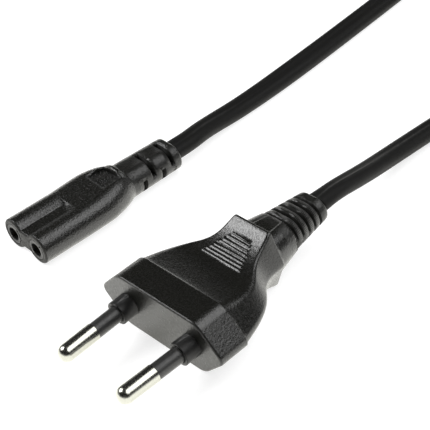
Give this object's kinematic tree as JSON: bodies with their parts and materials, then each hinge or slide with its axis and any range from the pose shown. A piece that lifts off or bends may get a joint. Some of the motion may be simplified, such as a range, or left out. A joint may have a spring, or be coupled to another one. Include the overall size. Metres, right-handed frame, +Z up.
{
  "type": "figure eight power connector with its two-core lead and plug",
  "caption": "Figure eight appliance connector on a flat twin cord that ends in a flat two-pin mains plug; black, lying on a table.",
  "frame": {"origin": "middle of the connector's footprint, on the surface that the lead lies on", "axes": "+Z up, +Y from the connector's face towards its cord, +X across its two bores towards the plug"},
  "size_m": [0.0938, 0.2506, 0.0147],
  "materials": {
    "pvc": "satin black PVC, moulded on the cord, with a fine spark-eroded grain",
    "pvc_cord": "smooth black extruded PVC",
    "carrier_black": "hard black moulded insert",
    "sleeve_black": "smooth black sleeve moulded on the pin",
    "nickel": "bright nickel plate on brass",
    "tinned_brass": "rolled brass strip, lightly tinned",
    "copper": "fine bare copper strands",
    "core_blue": "blue core insulation",
    "core_brown": "brown core insulation",
    "tie_black": "black releasable strap"
  },
  "bodies": {
    "root": {"connector_body": "pvc", "contact_carrier": "carrier_black", "contact_left": "tinned_brass", "contact_right": "tinned_brass", "connector_core_left": "core_blue", "connector_core_right": "core_brown", "connector_strands_left": "copper", "connector_strands_right": "copper", "plug_body": "pvc", "pin_bridge": "carrier_black", "pin_left": "nickel", "pin_right": "nickel", "sleeve_left": "sleeve_black", "sleeve_right": "sleeve_black", "plug_core_left": "core_blue", "plug_core_right": "core_brown", "plug_strands_left": "copper", "plug_strands_right": "copper", "cord_to_connector": "pvc_cord", "cord_coil": "pvc_cord", "cord_to_plug": "pvc_cord", "coil_tie": "tie_black"}
  },
  "joints": []
}
